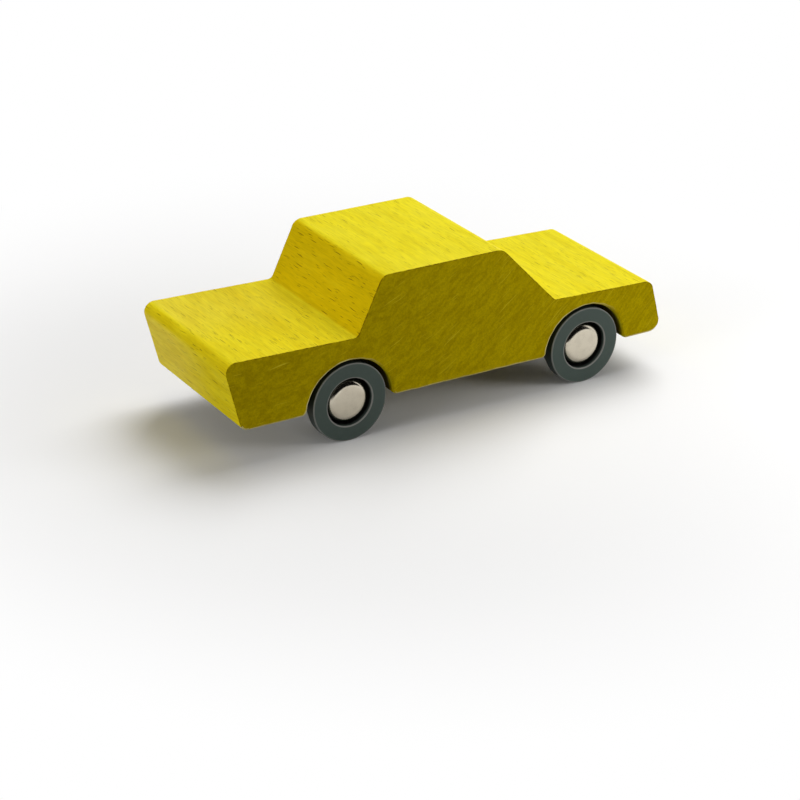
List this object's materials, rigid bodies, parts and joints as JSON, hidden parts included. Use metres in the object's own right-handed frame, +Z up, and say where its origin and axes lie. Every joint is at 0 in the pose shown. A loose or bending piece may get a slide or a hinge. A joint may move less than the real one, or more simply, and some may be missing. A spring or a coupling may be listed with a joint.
{
  "type": "toy taxi",
  "caption": "Wooden toy saloon car: a solid profiled body carried on steel axles, with free-spinning rubber-tyred wheels set into its arches behind plated hub caps.",
  "frame": {"origin": "on the ground under the middle of the car, midway between nose and tail and between the two sides", "axes": "+X from the nose to the tail, +Y to the car's right-hand side, +Z up"},
  "size_m": [0.1344, 0.045, 0.0441],
  "materials": {
    "yellow_beech": "yellow stain on planed beech, satin, the pores left open",
    "slate_rubber": "moulded slate-grey rubber, satin",
    "dark_plastic": "moulded, matt",
    "satin_nickel": "satin nickel plating with fine handling marks",
    "steel": "bright zinc plating",
    "screw_steel": "bright zinc plating",
    "nylon": "natural nylon"
  },
  "bodies": {
    "car": {"body": "yellow_beech", "front_axle": "steel", "rear_axle": "steel", "front_axle_strap": "steel", "rear_axle_strap": "steel", "front_strap_screws": "screw_steel", "rear_strap_screws": "screw_steel", "hub_cap_front_left": "satin_nickel", "hub_cap_front_right": "satin_nickel", "hub_cap_rear_left": "satin_nickel", "hub_cap_rear_right": "satin_nickel", "washer_front_left": "nylon", "washer_front_right": "nylon", "washer_rear_left": "nylon", "washer_rear_right": "nylon"},
    "wheel_front_left": {"tyre_front_left": "slate_rubber", "hub_front_left": "dark_plastic"},
    "wheel_front_right": {"tyre_front_right": "slate_rubber", "hub_front_right": "dark_plastic"},
    "wheel_rear_left": {"tyre_rear_left": "slate_rubber", "hub_rear_left": "dark_plastic"},
    "wheel_rear_right": {"tyre_rear_right": "slate_rubber", "hub_rear_right": "dark_plastic"}
  },
  "joints": [
    {"name": "wheel_front_left_spin", "type": "hinge", "parent": "car", "child": "wheel_front_left", "pos_m": [-0.03145, -0.0185, 0.0108], "axis": [0, 1, 0], "continuous": true},
    {"name": "wheel_front_right_spin", "type": "hinge", "parent": "car", "child": "wheel_front_right", "pos_m": [-0.03145, 0.0185, 0.0108], "axis": [0, 1, 0], "continuous": true},
    {"name": "wheel_rear_left_spin", "type": "hinge", "parent": "car", "child": "wheel_rear_left", "pos_m": [0.04225, -0.0185, 0.0108], "axis": [0, 1, 0], "continuous": true},
    {"name": "wheel_rear_right_spin", "type": "hinge", "parent": "car", "child": "wheel_rear_right", "pos_m": [0.04225, 0.0185, 0.0108], "axis": [0, 1, 0], "continuous": true}
  ]
}
